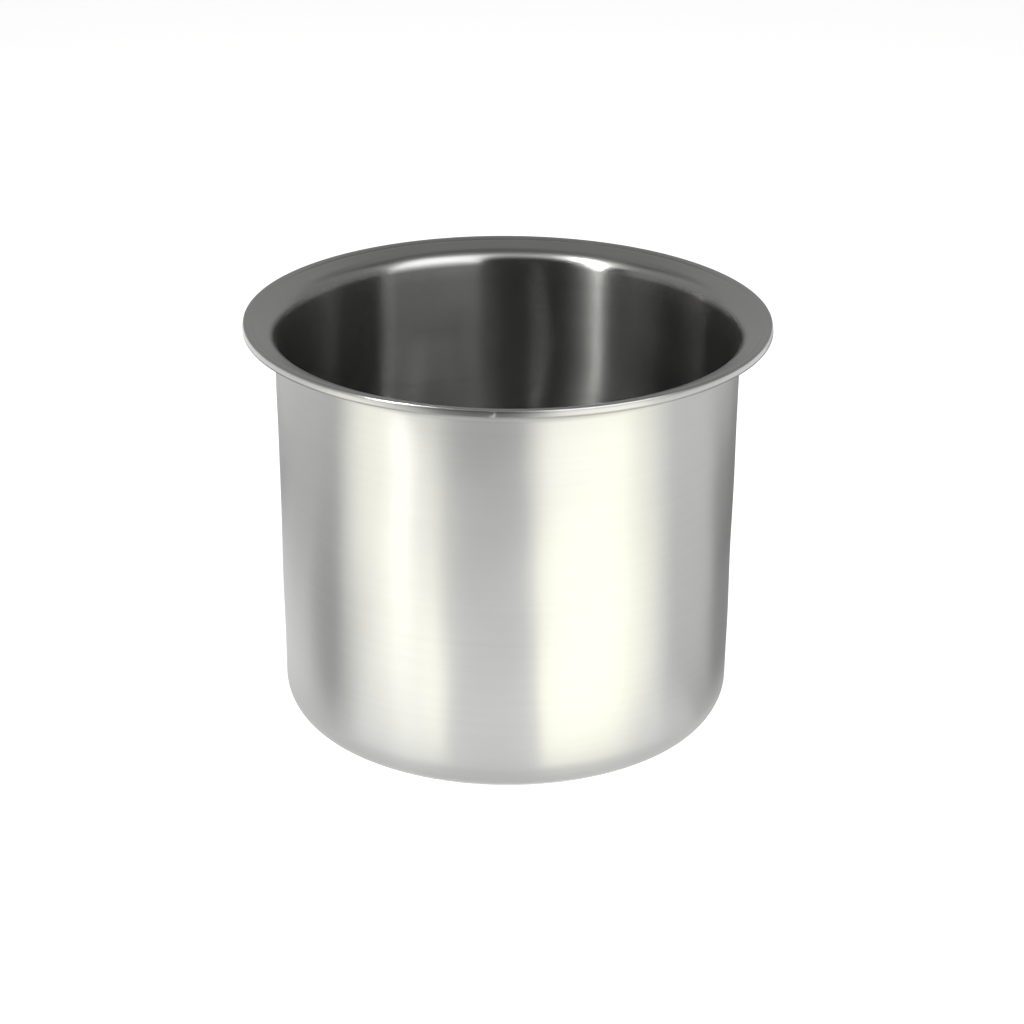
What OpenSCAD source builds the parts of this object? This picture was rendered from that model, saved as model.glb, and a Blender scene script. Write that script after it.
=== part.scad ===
// Inset pot of a soup kettle: a round, straight-sided bowl deep-drawn from one sheet of
// stainless steel. Its mouth flares into a sloping flange, and the flange's edge is rolled
// round a steel wire. The pot stands on a ring of its base, or hangs by its rim in a well.
// The origin is the centre of the standing face, with +Z up. All sizes are in millimetres.

/* [Body] */
// Height from the standing face to the top of the rim
pot_h = 195; // [120:0.5:300]
// Outside diameter of the wall where the neck starts
body_d = 214.6; // [150:0.1:400]
// Lean of the wall from upright, in degrees, wider at the mouth
wall_draft = 0.7; // [0:0.1:2]
// Outside radius of the corner between wall and base
base_corner_r = 18; // [6:0.5:40]
// Thickness of the sheet
sheet_t = 0.8; // [0.5:0.1:1.5]

/* [Base] */
// Width of the flat ring that the pot stands on
stand_ring_w = 7.5; // [3:0.5:25]
// Width of the slope between the standing ring and the raised middle
lift_slope_w = 6; // [2:0.5:20]
// Height of the raised middle over the standing face
base_lift = 1; // [0:0.1:3]

/* [Rim] */
// How far the rolled rim stands out from the wall, all round
rim_overhang = 14.95; // [11:0.05:40]
// Outside radius of the bend from wall to flange
neck_r = 8; // [3:0.5:16]
// Rise of the flange towards its edge, in degrees
flange_slope = 21; // [0:1:40]
// Diameter of the wire in the rolled rim
wire_d = 2.5; // [1.5:0.1:5]
// Play all round between the wire and the sheet rolled over it
wire_play = 0.05; // [0.02:0.01:0.2]
// Slit between the end of the rolled sheet and the flange
curl_slit = 0.2; // [0.1:0.05:0.6]
// Space between the two ends of the wire
wire_end_gap = 0.6; // [0.2:0.1:3]
// Direction in which the wire's ends meet, in degrees from +X
wire_joint_a = 267; // [0:1:359]

/* [Hidden] */
$fn = 180;
bend_step = 5; // degrees between the points on a bend of the section
satin_steel = [0.76, 0.76, 0.75];
wire_steel = [0.55, 0.56, 0.57];

// The section of the sheet, with x as the radius and y as the height, runs from the middle
// of the base to the end of the rolled rim. It has two faces: the outer one, which turns
// under the flange and into the roll, and the inner one, which ends outside the roll.
// Each bend has one middle for both faces, and the stretches between bends are straight.

// Outside radius of the rim, and inside and outside radius of the roll at its edge
rim_r = body_d/2 + rim_overhang;
roll_in_r = wire_d/2 + wire_play;
roll_out_r = roll_in_r + sheet_t;

// Directions from a bend's middle to its ends
wall_a = -wall_draft;
neck_wall_a = 180 - wall_draft;
flange_a = 90 + flange_slope;

// The rolled sheet turns on until its outside comes within a slit of the flange
roll_end_a = flange_a + acos((roll_in_r - curl_slit)/roll_out_r) - 360;

// Length of the straight flange between the neck and the roll
neck_end_x = body_d/2 + neck_r*(cos(wall_draft) - sin(flange_slope));
flange_end_x = rim_r - roll_out_r - roll_in_r*sin(flange_slope);
flange_l = (flange_end_x - neck_end_x)/cos(flange_slope);

// Middles of the bends, from the rim down to the base
roll_c = [rim_r - roll_out_r, pot_h - roll_out_r];
neck_c = roll_c + (roll_in_r - neck_r)*toward(flange_a) - flange_l*toward(flange_slope);
wall_top_z = neck_c[1] + neck_r*sin(wall_draft);
corner_x = body_d/2 - base_corner_r/cos(wall_draft)
    - (wall_top_z - base_corner_r)*tan(wall_draft);
corner_c = [corner_x, base_corner_r];

// The flat ring and the raised middle of the base
ring_inner_r = corner_x - stand_ring_w;
lift_r = ring_inner_r - lift_slope_w;

function toward(a) = [cos(a), sin(a)];

// Points along an arc of radius r about c, from angle a0 to a1
function arc(c, r, a0, a1) =
    let (n = ceil(abs(a1 - a0)/bend_step))
    [for (k = [0:n]) c + r*toward(a0 + (a1 - a0)*k/n)];

function reversed(list) = [for (k = [len(list) - 1:-1:0]) list[k]];

// One face of the sheet: the outer face has t = 0, and the inner one the sheet's thickness
function sheet_face(t) = concat(
    [[0, base_lift + t], [lift_r, base_lift + t], [ring_inner_r, t]],
    arc(corner_c, base_corner_r - t, -90, wall_a),
    arc(neck_c, neck_r + t, neck_wall_a, flange_a),
    arc(roll_c, roll_in_r + t, flange_a, roll_end_a));

module drawn_vessel() {
    color(satin_steel) rotate_extrude()
        polygon(concat(sheet_face(0), reversed(sheet_face(sheet_t))));
}

// The wire is bent into a ring whose two ends nearly meet
module rim_wire() {
    end_gap_a = 2*asin(wire_end_gap/2/roll_c[0]);
    color(wire_steel) rotate(wire_joint_a + end_gap_a/2) rotate_extrude(angle = 360 - end_gap_a)
        translate(roll_c) circle(d = wire_d);
}

drawn_vessel();
rim_wire();
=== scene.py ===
import math

import bpy
import numpy as np
from mathutils import Matrix, Vector


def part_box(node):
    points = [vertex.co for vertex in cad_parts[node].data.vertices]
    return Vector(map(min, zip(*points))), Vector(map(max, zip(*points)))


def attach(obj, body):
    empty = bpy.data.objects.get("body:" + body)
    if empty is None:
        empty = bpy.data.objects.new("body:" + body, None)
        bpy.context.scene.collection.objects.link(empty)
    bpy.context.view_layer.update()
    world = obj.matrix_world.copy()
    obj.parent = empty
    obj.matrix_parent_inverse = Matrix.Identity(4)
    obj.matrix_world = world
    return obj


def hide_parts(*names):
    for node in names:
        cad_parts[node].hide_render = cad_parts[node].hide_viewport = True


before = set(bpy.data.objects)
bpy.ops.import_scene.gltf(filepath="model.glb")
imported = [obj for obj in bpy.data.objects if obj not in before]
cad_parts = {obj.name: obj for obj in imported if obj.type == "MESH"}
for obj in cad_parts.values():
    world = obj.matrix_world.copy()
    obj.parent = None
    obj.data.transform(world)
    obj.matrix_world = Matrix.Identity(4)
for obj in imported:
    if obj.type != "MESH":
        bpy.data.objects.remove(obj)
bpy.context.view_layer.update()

# ---------------------------------------------------------------------------------------
# Drawn vessel. One sheet of 18/8 stainless steel, deep-drawn in a press to a pot with a
# rounded base. Its mouth is flared to a sloping flange, and the flange's edge is rolled
# under, round a wire. Polishing belts finish it on a lathe, inside and out.
# ---------------------------------------------------------------------------------------
vessel_low, vessel_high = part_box("drawn_vessel")
POT_H = vessel_high.z - vessel_low.z
RIM_R = vessel_high.x
BODY_R = 0.1073  # outside of the wall, where the neck starts
WALL_DRAFT = 0.7  # lean of the wall from upright
CORNER_R = 0.018  # outside of the bend between wall and base
NECK_R = 0.008  # outside of the bend between wall and flange
FLANGE_SLOPE = 21  # rise of the flange towards its edge
SHEET_T = 0.0008
STAND_RING_W = 0.0075  # flat ring that the pot stands on
LIFT_SLOPE_W = 0.006  # slope from the ring to the raised middle of the base
BASE_LIFT = 0.001
ROLL_IN_R = 0.0013  # hollow of the rolled edge, which holds the wire
ROLL_OUT_R = ROLL_IN_R + SHEET_T
ROLL_SLIT = 0.0002  # between the end of the rolled sheet and the flange
ROLL_SQUARENESS = 4  # power of the curve of the roll's outer half; 2 would be round
ROLL_LEAN = 0.0005  # how far the top of the roll's outer half leans in
CREASE_GAP = 0.0019  # from the roll to the middle of the crease that the rolling tool left
CREASE_W = 0.0004  # half the crease's width, where it is a third of its depth
CREASE_DEPTH = 0.00022
BEAD_AZIMUTH = 267.0  # of a drop of weld that holds the end of the roll
BEAD_RISE = 0.0004  # how far its middle lies above the roll's
BEAD_W, BEAD_TALL = 0.0011, 0.0013  # half of its size, where it is a third of its height
BEAD_H = 0.00025
WAVE_H = 0.00008  # of each wave that drawing left in the wall
WAVES = ((2, 0.150, 20), (3, -0.110, 120), (5, 0.080, 230), (8, -0.060, 70))  # lobes, length, phase
WAVE_FADE = 0.025  # height over which the waves die out at both ends of the wall
AROUND, AROUND_BEAD = 384, 20  # steps round the axis, and extra ones across the bead
STRETCH_STEPS = (2, 2, 4, 24, 5, 2)  # raised middle, slope, ring, wall, flange and flange's edge
CORNER_STEPS, NECK_STEPS, CREASE_STEPS = 20, 18, 12
ROLL_STEPS = 24, 40  # round the hollow and the outside of the roll
BELL_REACH = 3  # times its width, where a bell curve has died out


def toward(angle):
    """The unit vector (cos a, sin a), for one angle or a row of them."""
    a = np.radians(angle)
    return np.stack([np.cos(a), np.sin(a)], axis=-1)


def arc(centre, radius, start, end, steps):
    """Points c + r (cos a, sin a), with a in equal steps from start to end."""
    return np.asarray(centre) + radius * toward(np.linspace(start, end, steps + 1))


def joined(*runs):
    """The runs of points one after another, with points p + (q - p) k/n between each two."""
    rows = [runs[0]]
    for steps, run in zip(STRETCH_STEPS, runs[1:]):
        p, q = rows[-1][-1], run[0]
        rows += [p + (q - p) * np.linspace(0, 1, steps + 1)[1:-1, None], run]
    return np.concatenate(rows)


sin_draft, cos_draft = math.sin(math.radians(WALL_DRAFT)), math.cos(math.radians(WALL_DRAFT))
sin_slope, cos_slope = math.sin(math.radians(FLANGE_SLOPE)), math.cos(math.radians(FLANGE_SLOPE))
flange_up = 90 + FLANGE_SLOPE
neck_end = BODY_R + NECK_R * (cos_draft - sin_slope)
flange_l = (RIM_R - ROLL_OUT_R - ROLL_IN_R * sin_slope - neck_end) / cos_slope
roll_c = np.array([RIM_R - ROLL_OUT_R, POT_H - ROLL_OUT_R])
neck_c = roll_c + (ROLL_IN_R - NECK_R) * toward(flange_up) - flange_l * toward(FLANGE_SLOPE)
wall_top = neck_c[1] + NECK_R * sin_draft
corner_x = BODY_R - (CORNER_R + (wall_top - CORNER_R) * sin_draft) / cos_draft
corner_c = np.array([corner_x, CORNER_R])
ring_r = corner_x - STAND_RING_W
lift_r = ring_r - LIFT_SLOPE_W
roll_end = flange_up + math.degrees(math.acos((ROLL_IN_R - ROLL_SLIT) / ROLL_OUT_R)) - 360


def crease(t):
    """The crease across the flange: m + s u - d exp(-(s / w)^2) n, where m is its middle, u runs
    up the flange, n is the flange's normal and s goes as far as the bell curve reaches."""
    up, normal = toward(FLANGE_SLOPE), toward(flange_up)
    middle = roll_c + (ROLL_IN_R + t) * normal - CREASE_GAP * up
    s = np.linspace(-BELL_REACH, BELL_REACH, CREASE_STEPS + 1)[:, None]
    return middle + s * CREASE_W * up - CREASE_DEPTH * np.exp(-s * s) * normal


def pressed(points):
    """The roll after a roller has pressed its outer half flat. There, a point c + R q, with c
    the roll's centre, goes to q / (|q_r|^n + |q_z|^n)^(1 / n), then in by lean q_r (1 + q_z) / 2."""
    q = (points - roll_c) / ROLL_OUT_R
    power = np.where(q[:, 0] > 0, ROLL_SQUARENESS, 2)
    q = q / ((np.abs(q) ** power[:, None]).sum(axis=1) ** (1 / power))[:, None]
    q[:, 0] -= ROLL_LEAN / ROLL_OUT_R * np.maximum(q[:, 0], 0) * (1 + q[:, 1]) / 2
    return roll_c + ROLL_OUT_R * q


def sheet_face(t, roll_steps):
    """One face of the sheet as (radius, height), from the axis to the end of the roll: the
    outer face has t = 0 and the inner one the sheet's thickness."""
    roll = arc(roll_c, ROLL_IN_R + t, flange_up, roll_end, roll_steps)
    return joined(
        np.array([[0, BASE_LIFT + t]]),
        np.array([[lift_r, BASE_LIFT + t]]),
        np.array([[ring_r, t]]),
        arc(corner_c, CORNER_R - t, -90, -WALL_DRAFT, CORNER_STEPS),
        arc(neck_c, NECK_R + t, 180 - WALL_DRAFT, flange_up, NECK_STEPS),
        crease(t),
        pressed(roll) if t else roll,
    )


def worked(r, z, a):
    """The pot's small faults. The wall moves out by h times the sum of sin(n a + 2 pi z / l + p)
    over its waves, faded to 0 at both ends. On the roll, it moves out by H exp(-(x / w)^2 - (y / t)^2),
    with x the way round and y the way up from the middle of the bead."""
    ends = np.minimum(z - CORNER_R, wall_top - z) / WAVE_FADE
    ends = np.clip(ends, 0, 1)
    hold = ends * ends * (3 - 2 * ends)
    turn = 2 * math.pi * z
    wave = sum(np.sin(n * a + turn / length + math.radians(phase)) for n, length, phase in WAVES)
    way_round = (a - math.radians(BEAD_AZIMUTH)) * RIM_R / BEAD_W
    way_up = (z - roll_c[1] - BEAD_RISE) / BEAD_TALL
    bead = BEAD_H * (r > roll_c[0]) * np.exp(-way_round ** 2 - way_up ** 2)
    return r + WAVE_H * hold * wave + bead, z


def lathe(name, section, a, bend):
    """The surface (r cos a, r sin a, z) of a section (r, z), whose two ends lie on the axis, with
    steps at the angles a, after bend(r, z, a) has moved its points. The UV map holds the way
    along the section and the way round the widest part, in metres."""
    run = np.r_[0, np.cumsum(np.linalg.norm(np.diff(section, axis=0), axis=1))]
    rings, around = len(section) - 2, len(a)
    r, z = bend(section[1:-1, 0, None], section[1:-1, 1, None], a)
    ring = np.stack([r * np.cos(a), r * np.sin(a), z + 0 * r], axis=-1)
    poles = [[0, 0, section[0, 1]], [0, 0, section[-1, 1]]]
    verts = np.concatenate([ring.reshape(-1, 3), poles])

    i, j = np.arange(rings - 1)[:, None], np.arange(around)
    k = (j + 1) % around
    quads = np.stack([i * around + j, i * around + k, (i + 1) * around + k, (i + 1) * around + j], axis=-1)
    last = (rings - 1) * around
    first_fan = np.stack([0 * j + rings * around, k, j], axis=-1)
    last_fan = np.stack([0 * j + rings * around + 1, last + j, last + k], axis=-1)
    mesh = bpy.data.meshes.new(name)
    faces = quads.reshape(-1, 4).tolist() + first_fan.tolist() + last_fan.tolist()
    mesh.from_pydata(verts.tolist(), [], faces)

    here = a * section[:, 0].max()
    there = np.r_[a[1:], a[0] + 2 * math.pi] * section[:, 0].max()
    quad_u = np.stack([run[1:-2], run[1:-2], run[2:-1], run[2:-1]], axis=-1)[:, None, :]
    quad_v = np.stack([here, there, there, here], axis=-1)[None, :, :]
    quad_uv = np.stack(np.broadcast_arrays(quad_u, quad_v), axis=-1)
    between = (here + there) / 2
    first_v, last_v = np.stack([between, there, here], axis=-1), np.stack([between, here, there], axis=-1)
    first_uv = np.stack(np.broadcast_arrays(run[[0, 1, 1]], first_v), axis=-1)
    last_uv = np.stack(np.broadcast_arrays(run[[-1, -2, -2]], last_v), axis=-1)
    uv = np.concatenate([quad_uv.reshape(-1, 2), first_uv.reshape(-1, 2), last_uv.reshape(-1, 2)])
    mesh.uv_layers.new(name="along_and_round").data.foreach_set("uv", uv.astype(np.float32).ravel())
    mesh.polygons.foreach_set("use_smooth", np.ones(len(mesh.polygons), bool))
    return mesh


def linear(code):
    """A hex colour as linear light: c / 12.92 up to 0.04045, else ((c + 0.055) / 1.055) ^ 2.4."""
    c = np.array([int(code[k : k + 2], 16) for k in (1, 3, 5)]) / 255
    c = np.where(c <= 0.04045, c / 12.92, ((c + 0.055) / 1.055) ** 2.4)
    return (*c.tolist(), 1.0)


def node(tree, kind, links=(), **settings):
    """A node of a kind, with its settings, and with links as {input: socket or value}."""
    made = tree.nodes.new(kind)
    for key, value in settings.items():
        setattr(made, key, value)
    for key, value in dict(links).items():
        if isinstance(value, bpy.types.NodeSocket):
            tree.links.new(value, made.inputs[key])
        else:
            made.inputs[key].default_value = value
    return made


outer, inner = sheet_face(0, ROLL_STEPS[0]), sheet_face(SHEET_T, ROLL_STEPS[1])[::-1]
section = np.concatenate([outer, inner])
bell = np.linspace(-BELL_REACH, BELL_REACH, AROUND_BEAD)
across_bead = math.radians(BEAD_AZIMUTH) + bell * BEAD_W / RIM_R
angles = np.sort(np.r_[2 * math.pi * np.arange(AROUND) / AROUND, across_bead])
vessel = bpy.data.objects.new("vessel", lathe("vessel", section, angles, worked))
bpy.context.scene.collection.objects.link(vessel)
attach(vessel, "root")
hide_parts("drawn_vessel")

# Satin stainless steel, 18/8, polished while it turns: neutral grey. Belts gave both sides of the
# wall fine marks round the axis, which draw each highlight out along it: a coarse belt outside
# and a finer one inside. The rim was brushed by a wheel, so its reflections are shorter. The
# rim's underside is rougher, and its darker grey is painted shade, for the shade under the roll.
# A finish has a roughness, a share from 0 to 1 by which it draws highlights out, and a colour.
OUTSIDE = 0.36, 0.9, "#C8C8C7"
# The underside's dark grey is painted shade, for the shade under the rolled edge.
SHADED_UNDERSIDE = 0.38, 0.3, "#8A8A8A"
RIM = 0.30, 0.4, "#BEBEBD"
# The inside's grey is darker than the outside's: painted shade, for the dim inside of the pot.
INSIDE = 0.24, 1.0, "#B5B5B4"
FINISH_FADE = 0.002  # where one finish goes over into the next
EDGE_FADE = 0.0004  # the same on the roll, where the painted shade of the underside ends
EDGE_DROP = 0.0010  # how far below the middle of the roll the painted shade of the underside ends
INSIDE_END = 26  # rise of the neck's surface normal where the finish of the wall starts inside
GRIT_PITCH, GRIT_RUN = 0.0006, 0.050  # width and length of a mark; a real 0.1 mm is too fine to show
BELT_PITCH, BELT_RUN = 0.0030, 0.250  # width and length of a pass of the belt
CLOUD_SIZE = 0.035  # patches where the belt pressed harder
GRIT_TONE, BELT_TONE, CLOUD_TONE = 0.04, 0.06, 0.06  # how far each changes the tone in all
BELT_ROUGH, CLOUD_ROUGH = 0.03, 0.04  # the same for the roughness
run = np.r_[0, np.linalg.norm(np.diff(section, axis=0), axis=1).cumsum()]
underside_shade_start = run[np.argmax(outer[:, 1] > wall_top)]
rim_start = run[len(outer) + np.argmax(np.all(inner > roll_c - (0, EDGE_DROP), axis=1))]
rim_end = run[len(outer) + np.argmin(np.abs(inner[:, 1] - wall_top))]
rim_end -= (NECK_R + SHEET_T) * math.radians(INSIDE_END)

steel = bpy.data.materials.new("satin_stainless")
steel.use_nodes = True
tree = steel.node_tree
tree.nodes.clear()
along = node(tree, "ShaderNodeSeparateXYZ", {
    0: node(tree, "ShaderNodeUVMap", uv_map="along_and_round").outputs[0],
}).outputs["X"]
place = node(tree, "ShaderNodeTexCoord").outputs["Object"]
across = node(tree, "ShaderNodeSeparateXYZ", {0: place})
turned = node(tree, "ShaderNodeCombineXYZ", {
    "X": along, "Y": across.outputs["X"], "Z": across.outputs["Y"],
}).outputs[0]

# The marks are noise that is long round the axis and short along the section.
marks = []
for pitch, length in (BELT_PITCH, BELT_RUN), (GRIT_PITCH, GRIT_RUN):
    scale = (1 / pitch, 1 / length, 1 / length)
    stretched = node(tree, "ShaderNodeMapping", {"Vector": turned, "Scale": scale}).outputs[0]
    noise = node(tree, "ShaderNodeTexNoise", {"Vector": stretched, "Scale": 1.0, "Detail": 1.0})
    marks.append(noise.outputs[0])
belt, grit = marks
cloud = node(tree, "ShaderNodeTexNoise", {"Vector": place, "Scale": 1 / CLOUD_SIZE, "Detail": 1.0}).outputs[0]

# Along the section, each finish takes over from the one before it, by a smooth step.
rough, drawn_out, color = OUTSIDE[0], OUTSIDE[1], linear(OUTSIDE[2])
for finish, start, fade in (
    (SHADED_UNDERSIDE, underside_shade_start, FINISH_FADE),
    (RIM, rim_start, EDGE_FADE),
    (INSIDE, rim_end, FINISH_FADE),
):
    on = node(tree, "ShaderNodeMapRange", {
        "Value": along, "From Min": start - fade, "From Max": start + fade,
    }, interpolation_type="SMOOTHSTEP").outputs[0]
    rough = node(tree, "ShaderNodeMix", {0: on, 2: rough, 3: finish[0]}).outputs[0]
    drawn_out = node(tree, "ShaderNodeMix", {0: on, 2: drawn_out, 3: finish[1]}).outputs[0]
    mixed = node(tree, "ShaderNodeMix", {0: on, 6: color, 7: linear(finish[2])}, data_type="RGBA")
    color = mixed.outputs[2]

# The marks and patches swing the tone about 1, and the roughness about that of the finish.
tone = 1 - (BELT_TONE + CLOUD_TONE + GRIT_TONE) / 2
for pattern, swing in (belt, BELT_TONE), (cloud, CLOUD_TONE), (grit, GRIT_TONE):
    more = {0: pattern, 1: swing, 2: tone}
    tone = node(tree, "ShaderNodeMath", more, operation="MULTIPLY_ADD").outputs[0]
less = {0: rough, 1: (BELT_ROUGH + CLOUD_ROUGH) / 2}
rough = node(tree, "ShaderNodeMath", less, operation="SUBTRACT").outputs[0]
for pattern, swing in (belt, BELT_ROUGH), (cloud, CLOUD_ROUGH):
    more = {0: pattern, 1: swing, 2: rough}
    rough = node(tree, "ShaderNodeMath", more, operation="MULTIPLY_ADD").outputs[0]
steel_shader = node(tree, "ShaderNodeBsdfPrincipled", {
    "Base Color": node(tree, "ShaderNodeVectorMath", {0: color, 1: tone}, operation="MULTIPLY").outputs[0],
    "Metallic": 1.0,
    "Roughness": rough,
    "Anisotropic": drawn_out,
    "Tangent": node(tree, "ShaderNodeTangent", direction_type="UV_MAP", uv_map="along_and_round").outputs[0],
})
node(tree, "ShaderNodeOutputMaterial", {"Surface": steel_shader.outputs[0]})
vessel.data.materials.append(steel)

# ---------------------------------------------------------------------------------------
# Rim wire. A hoop of hard-drawn 18/8 wire, bent on rollers and laid in the roll, which keeps
# the rim round. Its two ends stop short of each other. The sheet hides almost all of it.
# ---------------------------------------------------------------------------------------
# Hard-drawn stainless steel wire: a shade warmer than the sheet, streaked along its length by the
# fine lines that the drawing die scores in it.
WIRE_COLOR = "#BDBCB8"
WIRE_ROUGH = 0.28, 0.42  # from the smoothest streak to the dullest
DIE_LINE = 0.0004  # pitch of the lines, coarser than real ones, which are too fine to show
DIE_LINE_DEPTH = 0.00001

wire_steel = bpy.data.materials.new("hard_drawn_wire")
wire_steel.use_nodes = True
tree = wire_steel.node_tree
tree.nodes.clear()
place = node(tree, "ShaderNodeTexCoord").outputs["Object"]
height = node(tree, "ShaderNodeSeparateXYZ", {0: place}).outputs["Z"]
flat = node(tree, "ShaderNodeVectorMath", {0: place, 1: (1, 1, 0)}, operation="MULTIPLY")
hoop_r = node(tree, "ShaderNodeVectorMath", {0: flat.outputs[0]}, operation="LENGTH").outputs["Value"]
lines = node(tree, "ShaderNodeTexNoise", {
    "Vector": node(tree, "ShaderNodeCombineXYZ", {"X": hoop_r, "Y": height}).outputs[0],
    "Scale": 1 / DIE_LINE,
    "Detail": 2.0,
}).outputs[0]
wire_shader = node(tree, "ShaderNodeBsdfPrincipled", {
    "Base Color": linear(WIRE_COLOR),
    "Metallic": 1.0,
    "Roughness": node(tree, "ShaderNodeMapRange", {
        "Value": lines, "To Min": WIRE_ROUGH[0], "To Max": WIRE_ROUGH[1],
    }).outputs[0],
    "Normal": node(tree, "ShaderNodeBump", {"Height": lines, "Distance": DIE_LINE_DEPTH}).outputs[0],
})
node(tree, "ShaderNodeOutputMaterial", {"Surface": wire_shader.outputs[0]})
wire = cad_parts["rim_wire"]
wire.data.materials.clear()
wire.data.materials.append(wire_steel)

# ---------------------------------------------------------------------------------------
# Floor. A table top of matt white paper, lit from above and from behind, as a light table is,
# so that it stays white and keeps only a faint shadow under the pot.
# ---------------------------------------------------------------------------------------
FLOOR_HALF = 6.0
PAPER_GREY = 0.8
PAPER_ROUGH = 0.9
PAPER_GLOW = 0.88
PAPER_GAP = 0.0002  # left under the pot, so that its foot and the paper don't share a plane


def flat_piece(name, corners, height, material):
    """A flat face through corners (x, y), facing up at a height."""
    mesh = bpy.data.meshes.new(name)
    mesh.from_pydata([(x, y, height) for x, y in corners], [], [tuple(range(len(corners)))])
    mesh.materials.append(material)
    piece = bpy.data.objects.new(name, mesh)
    bpy.context.scene.collection.objects.link(piece)
    return piece


paper = bpy.data.materials.new("matt_white_paper")
paper.use_nodes = True
paper.node_tree.nodes.clear()
paper_shader = node(paper.node_tree, "ShaderNodeBsdfPrincipled", {
    "Base Color": (PAPER_GREY, PAPER_GREY, PAPER_GREY, 1),
    "Roughness": PAPER_ROUGH,
    "Specular IOR Level": 0.0,
    "Emission Color": (1, 1, 1, 1),
    "Emission Strength": PAPER_GLOW,
})
node(paper.node_tree, "ShaderNodeOutputMaterial", {"Surface": paper_shader.outputs[0]})
half = FLOOR_HALF
flat_piece("floor", [(-half, -half), (half, -half), (half, half), (-half, half)], -PAPER_GAP, paper)

# ---------------------------------------------------------------------------------------
# Glowing cards. White, cream and grey cards lie on the table all round the pot, and a ring of
# them lies round its foot. They glow with light of their own, cast no shadow and show only in
# the steel: painted reflections, which make the bands and shades of its wall.
# ---------------------------------------------------------------------------------------
CARD_LIFT = 0.0015
WARM = (1, 1, 0.84)
NEUTRAL = (1, 1, 1)


def card(name, corners, radiance, color=NEUTRAL, lift=CARD_LIFT):
    """A card with corners (x, y) that only reflections see, and how brightly it shines."""
    glow = bpy.data.materials.new(name)
    glow.use_nodes = True
    glow.node_tree.nodes.clear()
    shine = node(glow.node_tree, "ShaderNodeEmission", {"Color": (*color, 1), "Strength": radiance})
    node(glow.node_tree, "ShaderNodeOutputMaterial", {"Surface": shine.outputs[0]})
    piece = flat_piece(name, corners, lift, glow)
    piece.visible_camera = False
    piece.visible_diffuse = False
    piece.visible_shadow = False
    return piece


card("right_card", [(0.029, -0.135), (0.10, -0.115), (0.46, -0.105), (0.46, -0.34), (0.071, -0.34)],
     2.4, WARM)
card("right_fill", [(0.13, -0.085), (0.128, -0.05), (0.16, 0.0), (0.43, 0.21), (0.5, 0.21), (0.5, -0.07)],
     0.93)
card("left_card", [(-0.035, -0.135), (-0.08, -0.150), (-0.18, -0.249), (-0.137, -0.243)], 3.05, WARM)
card("middle_left_card", [(-0.08, -0.150), (-0.125, -0.151), (-0.270, -0.250), (-0.18, -0.249)], 2.3, WARM)
card("outer_left_card", [(-0.125, -0.151), (-0.28, -0.155), (-0.45, -0.11), (-0.62, -0.10), (-0.62, -0.25),
                         (-0.36, -0.262), (-0.270, -0.250)], 2.75, WARM)
card("near_card", [(-0.05, -0.135), (-0.07, -0.19), (0.036, -0.2), (0.024, -0.135)], 1.38)
card("front_card", [(-0.11, -0.24), (-0.21, -0.40), (0.072, -0.45), (0.044, -0.25)], 1.5)
card("front_grey_card", [(-0.21, -0.40), (-0.30, -0.57), (0.10, -0.65), (0.072, -0.45)], 0.6)
card("far_front_card", [(-0.30, -0.57), (-2.3, -3.3), (0.7, -4.0), (0.10, -0.65)], 0.1)
# These two dim cards behind the pot on the right are painted shadow: they stand for the pot's shadow on the
# table, which the right side of its wall reflects.
card("right_painted_shadow_card", [(0.128, -0.05), (0.16, 0.0), (0.25, 0.07), (0.17, 0.22), (0.05, 0.25),
                         (0.05, 0.13)], 0.4)
card("far_painted_shadow_card", [(0.25, 0.07), (0.43, 0.21), (0.45, 0.6), (0.05, 0.6), (0.05, 0.25), (0.17, 0.22)],
     0.15)
card("left_grey_card", [(-0.118, -0.095), (-0.255, -0.07), (-0.50, -0.06), (-0.44, 0.25), (-0.27, 0.05),
                        (-0.128, -0.055)], 0.42)
card("left_near_card", [(-0.128, -0.055), (-0.27, 0.05), (-0.25, 0.16), (-0.17, 0.24), (-0.1, 0.25),
                        (-0.1, 0.09)], 1.1)
card("left_far_card", [(-0.27, 0.05), (-0.44, 0.25), (-0.35, 0.5), (-0.1, 0.45), (-0.1, 0.25),
                       (-0.17, 0.24), (-0.25, 0.16)], 0.45)
FOOT_IN, FOOT_OUT = 0.099, 0.125
FOOT_CARDS = 24
for k in range(FOOT_CARDS):
    side = toward(np.linspace(k, k + 1, 3) * 360 / FOOT_CARDS)
    card(f"foot_card_{k}", [*(FOOT_IN * side), *(FOOT_OUT * side[::-1])], 0.9, lift=2 * CARD_LIFT)

# ---------------------------------------------------------------------------------------
# Softboxes. Tall ones stand round the pot, with a narrow and very bright one to the left of the
# camera, and low ones stand on the table before them. Three hang overhead.
# ---------------------------------------------------------------------------------------


def softbox(name, place, aim, width, tall, radiance, color=NEUTRAL):
    """A rectangular light at a place, facing a point, whose face has the given radiance."""
    light = bpy.data.lights.new(name, "AREA")
    light.shape = "RECTANGLE"
    light.size = width
    light.size_y = tall
    light.energy = radiance * math.pi * width * tall
    light.color = color
    back = Vector(place) - Vector(aim)
    box = bpy.data.objects.new(name, light)
    box.matrix_world = Matrix.Translation(place) @ back.to_track_quat("Z", "Y").to_matrix().to_4x4()
    box.visible_camera = False
    bpy.context.scene.collection.objects.link(box)
    return box


def upright(name, azimuths, heights, distance, radiance, color=NEUTRAL):
    """An upright softbox between two azimuths from the front and two heights, facing the axis."""
    middle = math.radians(sum(azimuths) / 2)
    width = 2 * distance * math.tan(math.radians(azimuths[1] - azimuths[0]) / 2)
    level = sum(heights) / 2
    stand = (distance * math.sin(middle), -distance * math.cos(middle), level)
    return softbox(name, stand, (0, 0, level), width, heights[1] - heights[0], radiance, color)


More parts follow.
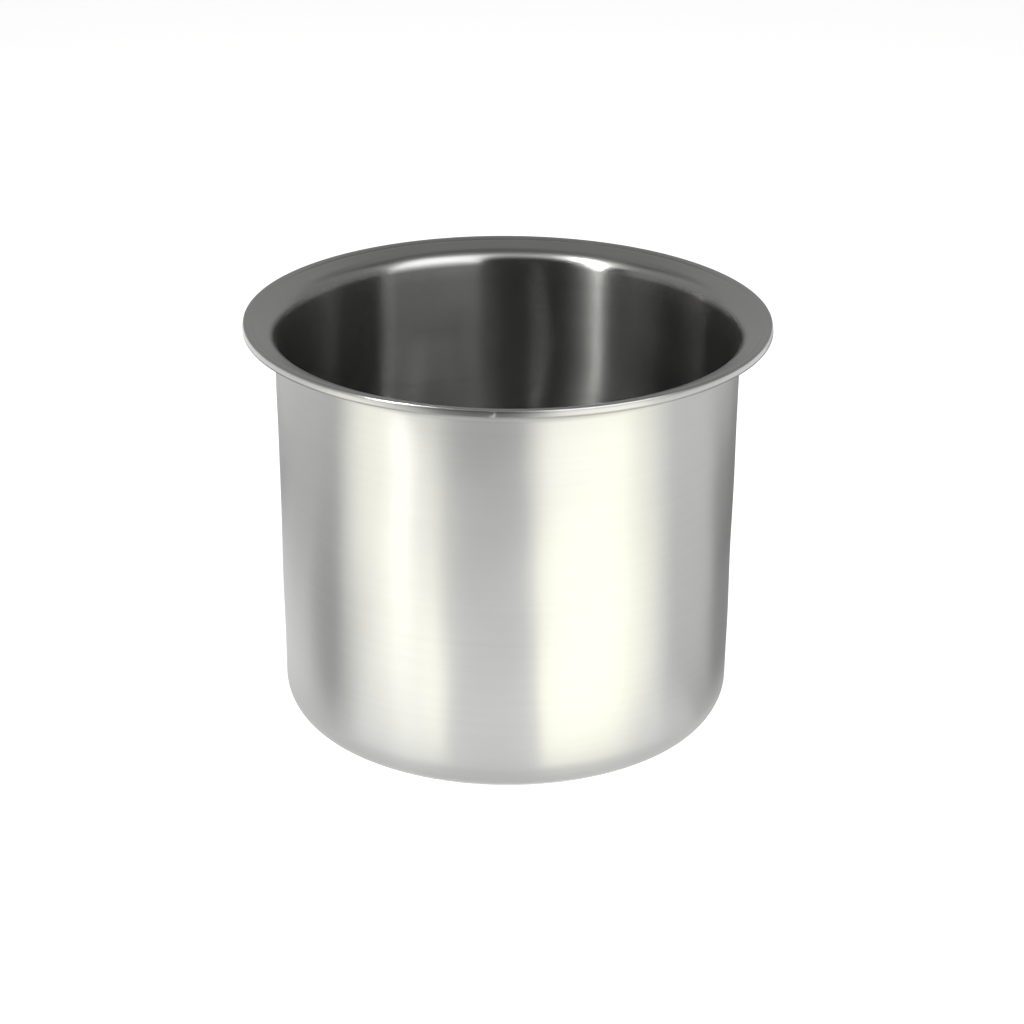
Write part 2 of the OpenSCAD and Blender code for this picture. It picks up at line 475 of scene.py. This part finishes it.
upright("right_box", (15, 67), (0.4, 1.4), 0.8, 2.3)
upright("right_middle", (17, 67), (0.19, 0.4), 0.8, 0.5)
upright("right_low", (17, 56), (0.0, 0.19), 0.8, 1.2, WARM)
upright("left_strip", (-52, -48.5), (0.4, 1.5), 0.8, 42.0, (1, 1, 0.96))
upright("left_box", (-135, -66), (0.12, 1.2), 0.9, 0.32)
upright("right_side_box", (67, 135), (0.12, 1.2), 0.9, 0.27)
upright("left_low", (-70, -46), (0.0, 0.12), 0.8, 0.9, WARM)
upright("back_box", (135, 225), (0.12, 1.2), 0.9, 0.34)
softbox("top_box", (0, 0, 1.5), (0, 0, 0.1), 1.6, 1.6, 0.08)
softbox("back_top_box", (0, 0.65, 1.35), (0, 0, 0.1), 1.6, 0.5, 0.21)
softbox("front_top_box", (-0.05, -0.75, 1.35), (0, 0, 0.1), 0.9, 0.45, 0.8)

ROOM_GREY = 0.009
room = bpy.data.worlds.new("room")
room.use_nodes = True
room.node_tree.nodes["Background"].inputs["Color"].default_value = (ROOM_GREY, ROOM_GREY, ROOM_GREY, 1)
bpy.context.scene.world = room

# ---------------------------------------------------------------------------------------
# Camera. A long lens looks down on the pot from the front, a little turned and tilted.
# ---------------------------------------------------------------------------------------
CAMERA_AWAY = 1.467  # from the middle of the pot's height
CAMERA_UP = 22.8  # elevation, seen from that point
IMAGE_PX = 1024
FOCAL_PX = 3104.25  # focal length over the width of one pixel
SENSOR_MM = 36.0
PITCH, YAW, ROLL = 22.814, 0.106, 0.392

pitch, yaw, roll = (math.radians(angle) for angle in (PITCH, YAW, ROLL))
out, up_by = CAMERA_AWAY * math.cos(math.radians(CAMERA_UP)), CAMERA_AWAY * math.sin(math.radians(CAMERA_UP))
forward = Vector((math.sin(yaw) * math.cos(pitch), math.cos(yaw) * math.cos(pitch), -math.sin(pitch)))
level_right = Vector((math.cos(yaw), -math.sin(yaw), 0))
level_up = level_right.cross(forward)
right = math.cos(roll) * level_right + math.sin(roll) * level_up
up = right.cross(forward)
lens = bpy.data.cameras.new("camera")
lens.sensor_width = SENSOR_MM
lens.lens = FOCAL_PX / IMAGE_PX * SENSOR_MM
camera = bpy.data.objects.new("camera", lens)
camera.matrix_world = (Matrix.Translation((0, -out, up_by + POT_H / 2))
                       @ Matrix((right, up, -forward)).transposed().to_4x4())
bpy.context.scene.collection.objects.link(camera)
bpy.context.scene.camera = camera
bpy.context.scene.view_settings.view_transform = "Standard"
